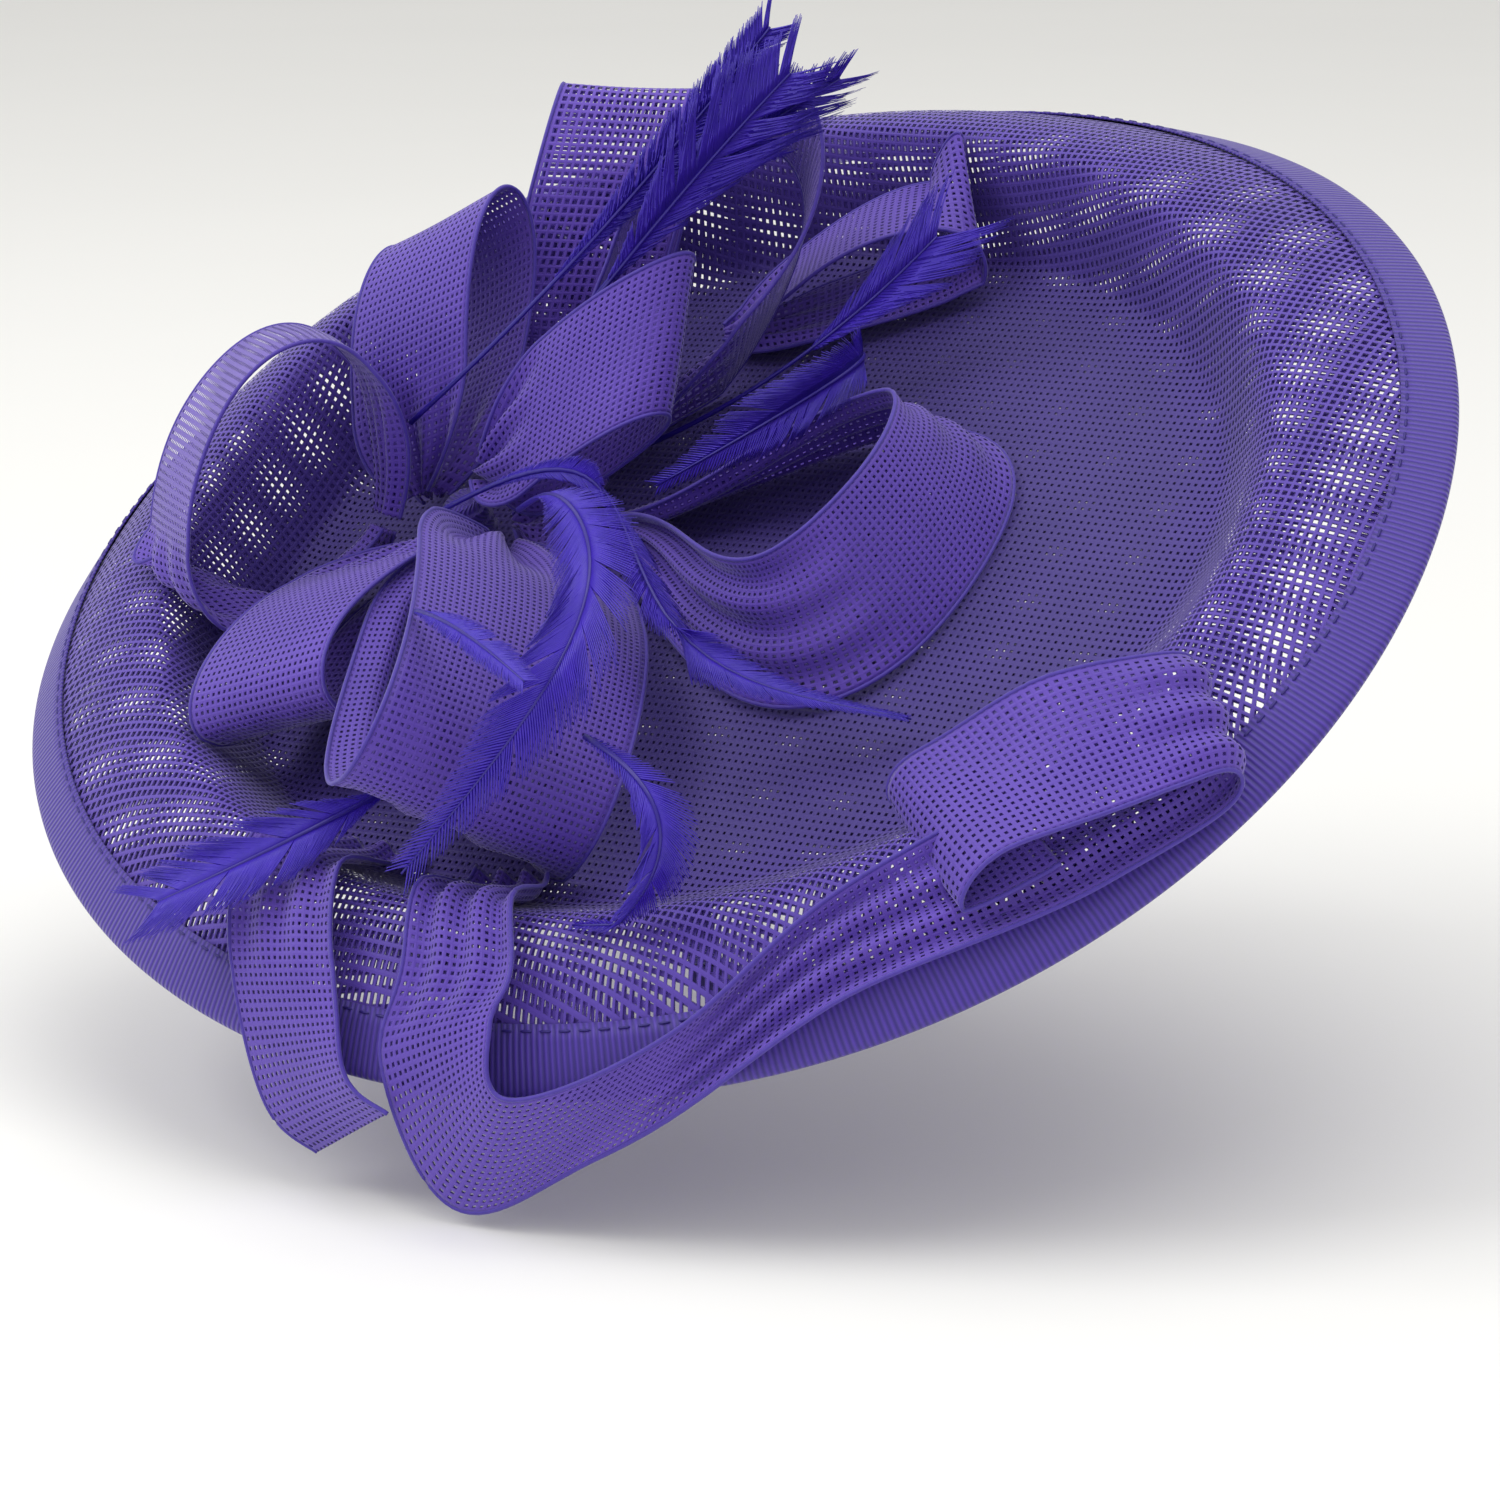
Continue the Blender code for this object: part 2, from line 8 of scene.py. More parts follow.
import bpy
import numpy as np
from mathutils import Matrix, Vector


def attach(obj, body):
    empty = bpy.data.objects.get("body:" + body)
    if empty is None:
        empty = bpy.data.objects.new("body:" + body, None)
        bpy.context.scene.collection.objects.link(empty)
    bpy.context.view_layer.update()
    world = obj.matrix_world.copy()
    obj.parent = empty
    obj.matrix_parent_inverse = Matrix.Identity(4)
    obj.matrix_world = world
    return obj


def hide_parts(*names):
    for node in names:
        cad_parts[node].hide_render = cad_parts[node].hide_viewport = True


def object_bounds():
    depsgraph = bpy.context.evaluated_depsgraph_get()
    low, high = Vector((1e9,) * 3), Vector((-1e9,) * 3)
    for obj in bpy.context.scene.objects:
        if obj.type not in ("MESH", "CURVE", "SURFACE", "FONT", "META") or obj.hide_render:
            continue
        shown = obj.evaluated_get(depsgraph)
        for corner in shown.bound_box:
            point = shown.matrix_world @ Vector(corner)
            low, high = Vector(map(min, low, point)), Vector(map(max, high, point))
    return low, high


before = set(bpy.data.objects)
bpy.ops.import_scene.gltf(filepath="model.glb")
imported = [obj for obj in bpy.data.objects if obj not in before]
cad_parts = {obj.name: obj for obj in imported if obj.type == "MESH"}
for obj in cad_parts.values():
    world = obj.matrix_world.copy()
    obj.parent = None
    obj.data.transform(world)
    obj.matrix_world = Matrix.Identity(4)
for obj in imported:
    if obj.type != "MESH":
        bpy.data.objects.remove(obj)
CAD_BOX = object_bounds()

bl_info = {
    "name": "Fascinator headpiece looks",
    "version": (1, 0, 0),
    "blender": (4, 5, 0),
    "location": "3D View > Sidebar > Fascinator",
    "description": "Builds the visible mesh, ribbons, feathers and headband of a saucer fascinator",
    "category": "Add Mesh",
}

MM = 0.001
TILT_TO_RIGHT = 33.5
TILT_FORWARD = 7.0
SAUCER_LENGTH = 357.0
SAUCER_WIDTH = 327.0
FLOOR_HEIGHT = 2.5
FLOOR_SAG = 3.0
FLOOR_FLAT_SHARE = 0.25
FLOOR_SHARE = 0.67
RIDGE_SHARE = 0.776
RIDGE_SHARE_SWING = 0.03
RIDGE_HEIGHT = 23.0
RIDGE_SWELL = 11.0
RIDGE_HIGH_BEARING = 45.0
RIM_WAVE = 8.0
RIM_WAVE_BEARING = 27.0
BRIM_DROOP = 1.7
LAYER_SPACING = 0.8
MESH_THICKNESS = 0.4
BINDING_WIDTH = 12.0
GATHER = (5.0, 70.0)
WRAP_RADIUS = 6.0
WRAP_HEIGHT = 14.0
RIBBON = 38.0
WIDE = 58.0
NARROW = 25.0
RIBBON_THICKNESS = 0.8
QUILL_WIDTH = 1.6
BAND_RADIUS = 76.0
BAND_SPAN = 118.0
BAND_ARM_FROM = 75.0
CLEARANCE = 0.3
FLOOR_GAP = 0.004
# Share of each thread spacing that is a hole, where the net lies flat and where it is stretched over the brim.
FLOOR_OPENING = 0.34
BRIM_OPENING = 0.64

# The same loops, brim ribbons and feathers as the solids that they replace: start from the gather point, way
# out and way across as (bearing, lift) in degrees, reach, opening, width, pointedness, twist and rest.
LOOPS = {
    "loop_left_twist": ((-8, 18, 16), (120, 46), (50, -20), 52, 74, RIBBON, 0.3, (0, 0, -40), 5.0, 0.6),
    "loop_lower_left": ((-14, 1, 11), (172, 11), (100, -8), 72, 24, RIBBON, 0.8, (0, 0, 20), 2.0, 0.6),
    "loop_back_left": ((6, 14, 12), (-4, 40), (98, -18), 68, 22, RIBBON, 0.9, (0, 0, 0), 2.0, 0.6),
    "loop_sheer_left": ((46, 0, 2), (-20, 40), (-72, -20), 84, 16, RIBBON, 0.6, (25, 0, -25), 2.0, 0.6),
    "loop_sheer_right": ((24, -22, 6), (-42, 34), (60, -50), 95, 38, RIBBON, 0.6, (0, 0, 0), 2.0, 0.6),
    "loop_centre": ((4, -9, 20), (-70, 22), (-11, 40), 62, 18, RIBBON, 0.7, (0, 0, 0), 2.0, 0.6),
    "loop_right_ring": ((-1, -40, 2), (-100, 10), (0, -90), 96, 72, RIBBON, 2.2, (-30, -25, -55), 2.0, 0.95),
    "loop_small_back": ((69, -42, 0), (-62, 8), (-160, 10), 70, 28, NARROW, 0.8, (0, 0, 0), 5.0, 0.6),
    "loop_front_bulge": ((-15, -18, 10), (-155, 10), (120, 50), 116, 42, WIDE, 0.7, (0, 0, 50), 2.0, 0.6),
    "ribbon_fold_under_centre": ((2, -12, 2), (-80, 0), (12, 8), 20, 5, NARROW, 0.5, (0, 0, 0), 2.0, 0.6),
}
BANDS = {
    "front_sweep_band": [
        (180, 0.65, 3, 170, 0.65, 3), (185, 0.88, 8, 175, 0.88, 6), (184, 0.97, 13, 174, 1.0, 6),
        (185, 1.04, 14, 178, 1.08, -8), (197, 0.98, 10, 190, 1.05, 0), (212, 0.86, 4, 210, 0.97, 5),
        (230, 0.83, 3, 230, 0.98, 4), (245, 0.87, 5, 241, 1.0, 6), (245, 0.87, 17, 240, 1.0, 17),
        (225, 0.7, 18, 225, 0.95, 18), (220, 0.7, 8, 220, 0.95, 9), (228, 0.78, 7, 228, 0.95, 7)],
    "swirl_front_outer": [
        (160, 0.65, 3, 150, 0.7, 4), (165, 0.8, 7, 155, 0.85, 6), (170, 0.95, 9, 160, 0.98, 6),
        (172, 1.03, 10, 163, 1.05, -4), (175, 1.05, 8, 166, 1.05, -14)],
}
# Root, tip, bow, rise, sway, width, way across, bare share and how blunt the end is.
FEATHERS = {
    "plume_top_left": ((8, 10, 32), (75, -86, 92), 6, 0, 0, 12, (-60, -10), 0.4, 0.8),
    "plume_top_middle": ((16, -10, 24), (62, -95, 88), 6, 6, 0, 28, (-60, -10), 0.4, 0.5),
    "plume_top_right": ((21, -16, 28), (68, -103, 81), -5, 6, 0, 26, (-60, -10), 0.4, 0.4),
    "fan_feather": ((28, -38, 6), (70, -110, 32), 8, 0, 0, 26, (-130, -20), 0.55, 0.8),
    "curled_feather": ((60, -74, 3), (-8, -62, 24), -38, 20, 0, 15, (0, 60), 0.0, 0.2),
    "s_feather": ((-16, -5, 24), (-64, -143, 4), 0, 20, -16, 12, (50, 20), 0.1, 0.05),
    "front_plume": ((-33, -43, 40), (-142, -60, 34), -45, 34, 6, 20, (-60, 0), 0.1, 0.3),
    "front_biot": ((-112, -98, 46), (-138, -93, 6), -24, 8, 0, 12, (-45, 0), 0.0, 0.1),
    "short_stub": ((-90, -52, 62), (-120, -97, 70), 0, 4, 0, 8, (-80, 0), 0.0, 0.5),
    "brush_feather": ((-107, -34, 23), (-146, 6, 27), -6, 4, 0, 18, (-170, -20), 0.0, 0.8),
}


def hat_turn():
    """Matrix from the hat's own frame to the model's frame."""
    forward, right = math.radians(-TILT_FORWARD), math.radians(-TILT_TO_RIGHT)
    about_x = np.array([[1, 0, 0], [0, math.cos(forward), -math.sin(forward)],
                        [0, math.sin(forward), math.cos(forward)]])
    about_y = np.array([[math.cos(right), 0, math.sin(right)], [0, 1, 0],
                        [-math.sin(right), 0, math.cos(right)]])
    return about_y @ about_x


TURN = hat_turn()


def unit(vector):
    return vector / np.linalg.norm(vector)


def heading(bearing, lift):
    across = math.cos(math.radians(lift))
    return np.array([math.cos(math.radians(bearing)) * across, math.sin(math.radians(bearing)) * across,
                     math.sin(math.radians(lift))])


def turned(vector, axis, degrees):
    angle = math.radians(degrees)
    along = axis * np.dot(axis, vector) * (1 - math.cos(angle))
    return vector * math.cos(angle) + np.cross(axis, vector) * math.sin(angle) + along


def smooth(share):
    share = min(max(share, 0.0), 1.0)
    return share * share * (3 - 2 * share)


def oval_point(bearing, share):
    angle = math.radians(bearing)
    return np.array([math.cos(angle) * share * SAUCER_WIDTH / 2, math.sin(angle) * share * SAUCER_LENGTH / 2])


def saucer_height(x, y):
    """A shallow bowl, a wall up to a ridge and a drooping brim."""
    east, north = x / (SAUCER_WIDTH / 2), y / (SAUCER_LENGTH / 2)
    share = math.hypot(east, north)
    bearing = math.degrees(math.atan2(north, east))
    ridge_share = RIDGE_SHARE - RIDGE_SHARE_SWING * math.cos(math.radians(bearing - 40))
    ridge = RIDGE_HEIGHT + RIDGE_SWELL * math.cos(math.radians(bearing - RIDGE_HIGH_BEARING))
    rim = -RIM_WAVE * math.cos(math.radians(2 * (bearing - RIM_WAVE_BEARING)))
    floor = FLOOR_HEIGHT - FLOOR_SAG * smooth((share - FLOOR_FLAT_SHARE) / (FLOOR_SHARE - FLOOR_FLAT_SHARE))
    if share <= FLOOR_SHARE:
        return floor
    if share <= ridge_share:
        return floor + (ridge - floor) * smooth((share - FLOOR_SHARE) / (ridge_share - FLOOR_SHARE))
    return ridge + (rim - ridge) * ((share - ridge_share) / (1 - ridge_share)) ** BRIM_DROOP


def above(x, y, height):
    return np.array([x, y, saucer_height(x, y) + LAYER_SPACING + MESH_THICKNESS / 2 + height])


def resting(point, rest):
    x, y, height = point
    if math.hypot(x / (SAUCER_WIDTH / 2), y / (SAUCER_LENGTH / 2)) > 1:
        return point
    return np.array([x, y, max(height, above(x, y, rest)[2])])


def rim_frame(bearing, inward):
    """Point of the mesh surface inside the rim, its direction inwards and its normal."""
    rim = oval_point(bearing, 1.0)
    radius = np.linalg.norm(rim)
    places = []
    for distance in (inward, inward + 1.0):
        x, y = rim * (1 - distance / radius)
        places.append(np.array([x, y, saucer_height(x, y)]))
    ahead = oval_point(bearing + 0.5, 1 - inward / radius)
    behind = oval_point(bearing - 0.5, 1 - inward / radius)
    along = np.array([*ahead, saucer_height(*ahead)]) - np.array([*behind, saucer_height(*behind)])
    inwards = unit(places[1] - places[0])
    return places[0], inwards, unit(np.cross(along, inwards))


# Materials

def linear(code):
    """Linear colour from an sRGB hex code."""
    found = []
    for start in (0, 2, 4):
        value = int(code[start:start + 2], 16) / 255
        found.append(value / 12.92 if value <= 0.04045 else ((value + 0.055) / 1.055) ** 2.4)
    return (*found, 1.0)


def node(tree, kind, inputs=(), **settings):
    """Adds a node with its settings; inputs are (socket, value or output socket)."""
    made = tree.nodes.new(kind)
    for key, value in settings.items():
        setattr(made, key, value)
    for socket, value in inputs:
        if isinstance(value, bpy.types.NodeSocket):
            tree.links.new(value, made.inputs[socket])
        else:
            made.inputs[socket].default_value = value
    return made


def start_material(name, roughness, sheen=0.0):
    made = bpy.data.materials.new(name)
    made.use_nodes = True
    shader = made.node_tree.nodes["Principled BSDF"]
    shader.inputs["Roughness"].default_value = roughness
    shader.inputs["Sheen Weight"].default_value = sheen
    return made, made.node_tree, shader


def thread(tree, coordinate, pitch, hole):
    """1 on a thread and 0 in the gap beside it, along one direction of a weave with its pitch in mm."""
    scaled = node(tree, "ShaderNodeMath", [(0, coordinate), (1, 1 / pitch)], operation="MULTIPLY")
    folded = node(tree, "ShaderNodeMath", [(0, scaled.outputs[0]), (1, 0.5)], operation="PINGPONG")
    half_hole = node(tree, "ShaderNodeMath", [(0, hole), (1, 0.5)], operation="MULTIPLY")
    beyond = node(tree, "ShaderNodeMath", [(0, folded.outputs[0]), (1, half_hole.outputs[0])],
                  operation="SUBTRACT")
    edge = node(tree, "ShaderNodeMapRange", [("Value", beyond.outputs[0]), ("From Min", -0.05),
                                             ("From Max", 0.05)], interpolation_type="SMOOTHSTEP")
    return edge.outputs[0], folded.outputs[0]


def net_material(name, light, dark, pitch, hole=None, hem=False):
    """Open mesh of stiff yarn: square holes between threads, alpha in the holes, and colour that varies softly.

    light is a linear colour and dark a hex one."""
    made, tree, shader = start_material(name, 0.6, 0.25)
    place = node(tree, "ShaderNodeUVMap", uv_map="weave")
    parts = node(tree, "ShaderNodeSeparateXYZ", [(0, place.outputs[0])])
    # The map is in metres, and the thread spacing in millimetres.
    run = node(tree, "ShaderNodeMath", [(0, parts.outputs[0]), (1, 1 / MM)], operation="MULTIPLY")
    over = node(tree, "ShaderNodeMath", [(0, parts.outputs[1]), (1, 1 / MM)], operation="MULTIPLY")
    blocked = hole is None
    if blocked:
        # Each piece of the saucer says how far blocking has opened its holes.
        hole = node(tree, "ShaderNodeAttribute", attribute_name="opening").outputs["Fac"]
    warp, warp_height = thread(tree, run.outputs[0], pitch[0], hole)
    weft, weft_height = thread(tree, over.outputs[0], pitch[1], hole)
    cover = node(tree, "ShaderNodeMath", [(0, warp), (1, weft)], operation="MAXIMUM").outputs[0]
    if hem:
        edge = node(tree, "ShaderNodeAttribute", attribute_name="hem").outputs["Fac"]
        cover = node(tree, "ShaderNodeMath", [(0, cover), (1, edge)], operation="MAXIMUM").outputs[0]
    spots = node(tree, "ShaderNodeTexNoise", [("Vector", place.outputs[0]), ("Scale", 40.0), ("Detail", 3.0)])
    tint = node(tree, "ShaderNodeMixRGB", [(0, spots.outputs[0]), (1, linear(dark)), (2, tuple(light))])
    if blocked:
        # Painted shade: where the holes are smallest, on the floor, the net is mixed part way to a deep violet
        # for the shade inside the bowl, so it is deeper in colour than the blocked brim.
        depth = node(tree, "ShaderNodeMapRange", [("Value", hole), ("From Min", FLOOR_OPENING),
                                                  ("From Max", BRIM_OPENING), ("To Min", 0.6),
                                                  ("To Max", 0.0)])
        tint = node(tree, "ShaderNodeMixRGB", [(0, depth.outputs[0]), (1, tint.outputs[0]),
                                               (2, linear("1E1352"))])
    tree.links.new(tint.outputs[0], shader.inputs["Base Color"])
    height = node(tree, "ShaderNodeMath", [(0, warp_height), (1, weft_height)], operation="MAXIMUM")
    bump = node(tree, "ShaderNodeBump", [("Height", height.outputs[0]), ("Strength", 0.6),
                                         ("Distance", 0.5 * MM)])
    tree.links.new(bump.outputs[0], shader.inputs["Normal"])
    tree.links.new(cover, shader.inputs["Alpha"])
    return made


def ribbed_material(name, light, dark, pitch, axis, roughness, sheen):
    """Close ribbed cloth, such as grosgrain or satin, with ribs across one direction of its map."""
    made, tree, shader = start_material(name, roughness, sheen)
    place = node(tree, "ShaderNodeUVMap", uv_map="weave")
    parts = node(tree, "ShaderNodeSeparateXYZ", [(0, place.outputs[0])])
    run = node(tree, "ShaderNodeMath", [(0, parts.outputs[axis]), (1, 2 * math.pi / (pitch * MM))],
               operation="MULTIPLY")
    wave = node(tree, "ShaderNodeMath", [(0, run.outputs[0])], operation="SINE")
    share = node(tree, "ShaderNodeMapRange", [("Value", wave.outputs[0]), ("From Min", -1.0)])
    # Painted shade between the ribs: the colour follows the same wave as the bump, dark in the hollows and light
    # on the crests.
    tint = node(tree, "ShaderNodeMixRGB", [(0, share.outputs[0]), (1, linear(dark)), (2, linear(light))])
    tree.links.new(tint.outputs[0], shader.inputs["Base Color"])
    bump = node(tree, "ShaderNodeBump", [("Height", share.outputs[0]), ("Strength", 0.7),
                                         ("Distance", 0.35 * MM)])
    tree.links.new(bump.outputs[0], shader.inputs["Normal"])
    return made


def grained_material(name, light, dark, scale, roughness, sheen=0.0, metallic=0.0, depth=0.2):
    """Felt, dyed barbs, moulded plastic or steel, by the size of its grain."""
    made, tree, shader = start_material(name, roughness, sheen)
    shader.inputs["Metallic"].default_value = metallic
    place = node(tree, "ShaderNodeTexCoord").outputs["Object"]
    grain = node(tree, "ShaderNodeTexNoise", [("Vector", place), ("Scale", scale), ("Detail", 4.0)])
    tint = node(tree, "ShaderNodeMixRGB", [(0, grain.outputs[0]), (1, linear(dark)), (2, linear(light))])
    tree.links.new(tint.outputs[0], shader.inputs["Base Color"])
    bump = node(tree, "ShaderNodeBump", [("Height", grain.outputs[0]), ("Strength", 0.4),
                                         ("Distance", depth * MM)])
    tree.links.new(bump.outputs[0], shader.inputs["Normal"])
    return made


# Pieces

def add_piece(name, points, faces, finish, replaced, body="hat", maps=None, marks=None, wall=0.0):
    """A mesh from points in mm of the hat's frame, with its weave map in metres, riding on a body."""
    placed = [TURN @ np.asarray(point, float) * MM for point in points]
    mesh = bpy.data.meshes.new(name)
    mesh.from_pydata([tuple(point) for point in placed], [], faces)
    mesh.validate()
    mesh.shade_smooth()
    if maps is not None:
        layer = mesh.uv_layers.new(name="weave")
        for loop in mesh.loops:
            layer.data[loop.index].uv = maps[loop.vertex_index]
    for label, values in (marks or {}).items():
        attribute = mesh.attributes.new(label, "FLOAT", "POINT")
        attribute.data.foreach_set("value", np.array(values, np.float32))
    made = bpy.data.objects.new(name, mesh)
    bpy.context.scene.collection.objects.link(made)
    mesh.materials.append(finish)
    if wall:
        solid = made.modifiers.new("Thickness", "SOLIDIFY")
        solid.thickness = wall * MM
        solid.offset = 0.0
    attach(made, body)
    if replaced:
        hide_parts(*replaced)
    return made


def grid_faces(rows, columns, closed=False):
    faces = []
    for row in range(rows - 1):
        for column in range(columns if closed else columns - 1):
            after = (column + 1) % columns
            here = row * columns
            faces.append((here + column, here + after, here + columns + after, here + columns + column))
    return faces


def make_saucer(name, lift, quarter_turn, finish, replaced):
    """One layer of the mesh. Its weave runs straight across the oval and is turned a little between layers."""
    sides = 180
    shares = [0.02 + 0.64 * n / 12 for n in range(13)] + [0.67 + 0.318 * n / 34 for n in range(1, 35)]
    points, maps, opening = [], [], []
    angle = math.radians(quarter_turn)
    for share in shares:
        for side in range(sides):
            x, y = oval_point(360 * side / sides, share)
            points.append(np.array([x, y, saucer_height(x, y) + lift]))
            # Blocking stretches the net over the ridge and brim, and leaves the floor close.
            opening.append(FLOOR_OPENING + (BRIM_OPENING - FLOOR_OPENING) * smooth((share - 0.6) / 0.2))
            stretch = 1 + 0.004 * (saucer_height(x, y) - FLOOR_HEIGHT)
            maps.append(((x * math.cos(angle) - y * math.sin(angle)) * stretch * MM,
                         (x * math.sin(angle) + y * math.cos(angle)) * stretch * MM))
    faces = grid_faces(len(shares), sides, closed=True)
    faces.append(tuple(reversed(range(sides))))
    made = add_piece(name, points, faces, finish, replaced, maps=maps,
                     marks={"opening": opening}, wall=MESH_THICKNESS)
    return made


def ribbon(name, centres, wides, halves, width, finish, replaced):
    """A ribbon with corded hems through its centre line, pleated where it is drawn narrower than its cut."""
    columns = 25
    waves = 3
    lengths = [0.0]
    for before, after in zip(centres, centres[1:]):
        lengths.append(lengths[-1] + float(np.linalg.norm(after - before)))
    points, maps, hem = [], [], []
    for step, centre in enumerate(centres):
        before = centres[max(step - 1, 0)]
        after = centres[min(step + 1, len(centres) - 1)]
        wide = wides[step]
        normal = unit(np.cross(unit(after - before), wide))
        drawn = max(width / 2 / halves[step], 1.0)
        slope = math.sqrt(max(2 * (drawn * drawn - 1), 0.0))
        deep = min(slope * 2 * halves[step] / (2 * math.pi * waves), 2.2)
        for column in range(columns):
            place = 2 * column / (columns - 1) - 1
            # A soft wave along the length keeps the ribbon from lying like card.
            ripple = 0.5 * math.sin(lengths[step] / 11 + place * 1.7)
            pleat = deep * math.cos(math.pi * waves * place) + ripple
            points.append(centre + wide * halves[step] * place + normal * pleat)
            maps.append((lengths[step] * MM, place * width / 2 * MM))
            hem.append(1.0 if abs(place) > 0.95 else 0.0)
    made = add_piece(name, points, grid_faces(len(centres), columns), finish, replaced,
                     maps=maps, marks={"hem": hem}, wall=0.45)
    cords = hem_cords(name + "_hems", points, columns, MATERIALS["hem cord, spun polyester"])
    return made


def hem_cords(name, points, columns, finish):
    """The corded edges of a ribbon: a thin round cord in each hem."""
    sides, radius = 6, 0.55
    placed, faces = [], []
    for edge in (0, columns - 1):
        line = [points[n] for n in range(edge, len(points), columns)]
        start = len(placed)
        for step, here in enumerate(line):
            along = unit(line[min(step + 1, len(line) - 1)] - line[max(step - 1, 0)])
            side = unit(np.cross(along, np.array([0.3, 0.5, 0.81])))
            up = np.cross(along, side)
            for turn in range(sides):
                angle = 2 * math.pi * turn / sides
                placed.append(here + (side * math.cos(angle) + up * math.sin(angle)) * radius)
        faces += [tuple(start + corner for corner in face)
                  for face in grid_faces(len(line), sides, closed=True)]
        last = start + (len(line) - 1) * sides
        faces.append(tuple(reversed(range(start, start + sides))))
        faces.append(tuple(range(last, last + sides)))
    return add_piece(name, placed, faces, finish, ())


def loop_ribbon(name, finish):
    start, out, across, reach, opening, width, pointed, twist, rest, gathered = LOOPS[name]
    outward, wide = heading(*out), heading(*across)
    side = unit(np.cross(wide, outward))
    root = above(GATHER[0] + start[0], GATHER[1] + start[1], start[2])
    fullest = max(math.sin(2 * math.pi * n / 200) * math.sin(math.pi * n / 200) ** pointed
                  for n in range(1, 100))
    steps = 110
    centres, wides, halves = [], [], []
    for step in range(steps + 1):
        around = math.pi * step / steps
        sideways = math.sin(2 * around) * math.sin(around) ** pointed * opening / 2 / fullest
        spread = RIBBON_THICKNESS * 2 * math.cos(around)
        centres.append(root + outward * reach * math.sin(around) ** 2 + side * (sideways + spread))
    for step, centre in enumerate(centres):
        share = step / steps
        along = unit(centres[min(step + 1, steps)] - centres[max(step - 1, 0)])
        first, middle, last = twist
        angle = first + (middle - first) * smooth(share * 2) + (last - middle) * smooth(share * 2 - 1)
        half = width / 2 * (0.2 + 0.8 * smooth(math.sin(math.pi * share) / gathered))
        lying = turned(wide, along, angle)
        near, far = resting(centre - lying * half, rest), resting(centre + lying * half, rest)
        centres[step] = (near + far) / 2
        halves.append(float(np.linalg.norm(far - near)) / 2)
        wides.append(unit(far - near))
    return ribbon(name + "_ribbon", centres, wides, halves, width, finish, [name])


def smooth_through(values, step):
    low = min(int(step), len(values) - 2)
    part = step - low
    rows = [np.array(values[min(max(low + shift, 0), len(values) - 1)], float) for shift in (-1, 0, 1, 2)]
    before, here, after, beyond = rows
    bend = (before * 2 - here * 5 + after * 4 - beyond) * part ** 2
    ease = (here * 3 - before - after * 3 + beyond) * part ** 3
    return (here * 2 + (after - before) * part + bend + ease) / 2


def band_ribbon(name, finish):
    guides = BANDS[name]
    samples = 14
    centres, wides, halves = [], [], []
    for count in range((len(guides) - 1) * samples + 1):
        row = smooth_through(guides, count / samples)
        near = above(*oval_point(row[0], row[1]), row[2])
        far = above(*oval_point(row[3], row[4]), row[5])
        centres.append((near + far) / 2)
        wides.append(unit(far - near))
        halves.append(float(np.linalg.norm(far - near)) / 2)
    width = 2 * sum(halves) / len(halves)
    return ribbon(name + "_ribbon", centres, wides, halves, width, finish, [name])


def feather(name, finish, quill_finish):
    """A dyed feather: a tapering quill and two rows of barbs that lie in clumps."""
    root, tip, bow, rise, sway, width, across, bare, blunt = FEATHERS[name]
    chance = random.Random(name)
    base = above(*GATHER, 0.0)
    first, last = base + np.array(root, float), base + np.array(tip, float)
    along = last - first
    aside = unit(np.array([along[1], -along[0], 0.0]))
    wide = heading(*across)

    def place(share):
        arch = 4 * share * (1 - share)
        point = first + along * share + aside * (bow * arch + sway * math.sin(2 * math.pi * share))
        return resting(point + np.array([0.0, 0.0, rise * arch]), 3.0)

    def course(share):
        return unit(place(min(share + 0.02, 1.0)) - place(max(share - 0.02, 0.0)))

    points, faces = [], []
    sides, steps = 6, 30
    for step in range(steps + 1):
        share = step / steps
        ahead = course(share)
        side = unit(wide - ahead * np.dot(ahead, wide))
        up = np.cross(ahead, side)
        radius = 0.75 - 0.5 * share
        for turn in range(sides):
            angle = 2 * math.pi * turn / sides
            points.append(place(share) + (side * math.cos(angle) + up * math.sin(angle)) * radius)
    faces = grid_faces(steps + 1, sides, closed=True)
    faces.append(tuple(reversed(range(sides))))
    faces.append(tuple(range(steps * sides, (steps + 1) * sides)))
    quill = add_piece(name + "_quill", points, faces, quill_finish, [name])
    points, faces = [], []
    count = max(40, int(np.linalg.norm(along) * (1 - bare) / 0.5))
    for sign in (-1, 1):
        lean, left = 0.0, 0
        for number in range(count):
            if left == 0:
                lean, left = chance.uniform(-7, 7), chance.randint(4, 11)
            left -= 1
            share = bare + (0.995 - bare) * number / count
            vane = smooth((share - bare) / 0.35 + 0.12) * (1 - (1 - blunt) * smooth((share - 0.65) / 0.35))
            ahead = course(share)
            side = unit(wide - ahead * np.dot(ahead, wide))
            up = np.cross(ahead, side)
            slant = math.radians(38 + lean)
            length = (QUILL_WIDTH + (width - QUILL_WIDTH) * vane) / 2 / math.sin(slant)
            length *= chance.uniform(0.9, 1.08)
            reach = side * sign * math.sin(slant) + ahead * math.cos(slant)
            start = place(share)
            here = len(points)
            for part in range(5):
                run = part / 4
                centre = start + reach * length * run + ahead * length * 0.12 * run * run
                centre = centre + up * (0.06 * length * run * run + chance.uniform(-0.15, 0.15) * run)
                half = 0.62 * (1 - 0.75 * run)
                points.append(centre - ahead * half)
                points.append(centre + ahead * half)
                points.append(centre + up * 0.22 * (1 - 0.7 * run))
                if part:
                    before = here + 3 * (part - 1)
                    for corner in range(3):
                        after = (corner + 1) % 3
                        faces.append((before + corner, before + after, before + 3 + after, before + 3 + corner))
            faces.append((here + 2, here + 1, here))
            faces.append((here + 12, here + 13, here + 14))
    vane_piece = add_piece(name + "_barbs", points, faces, finish, ())
    return quill, vane_piece


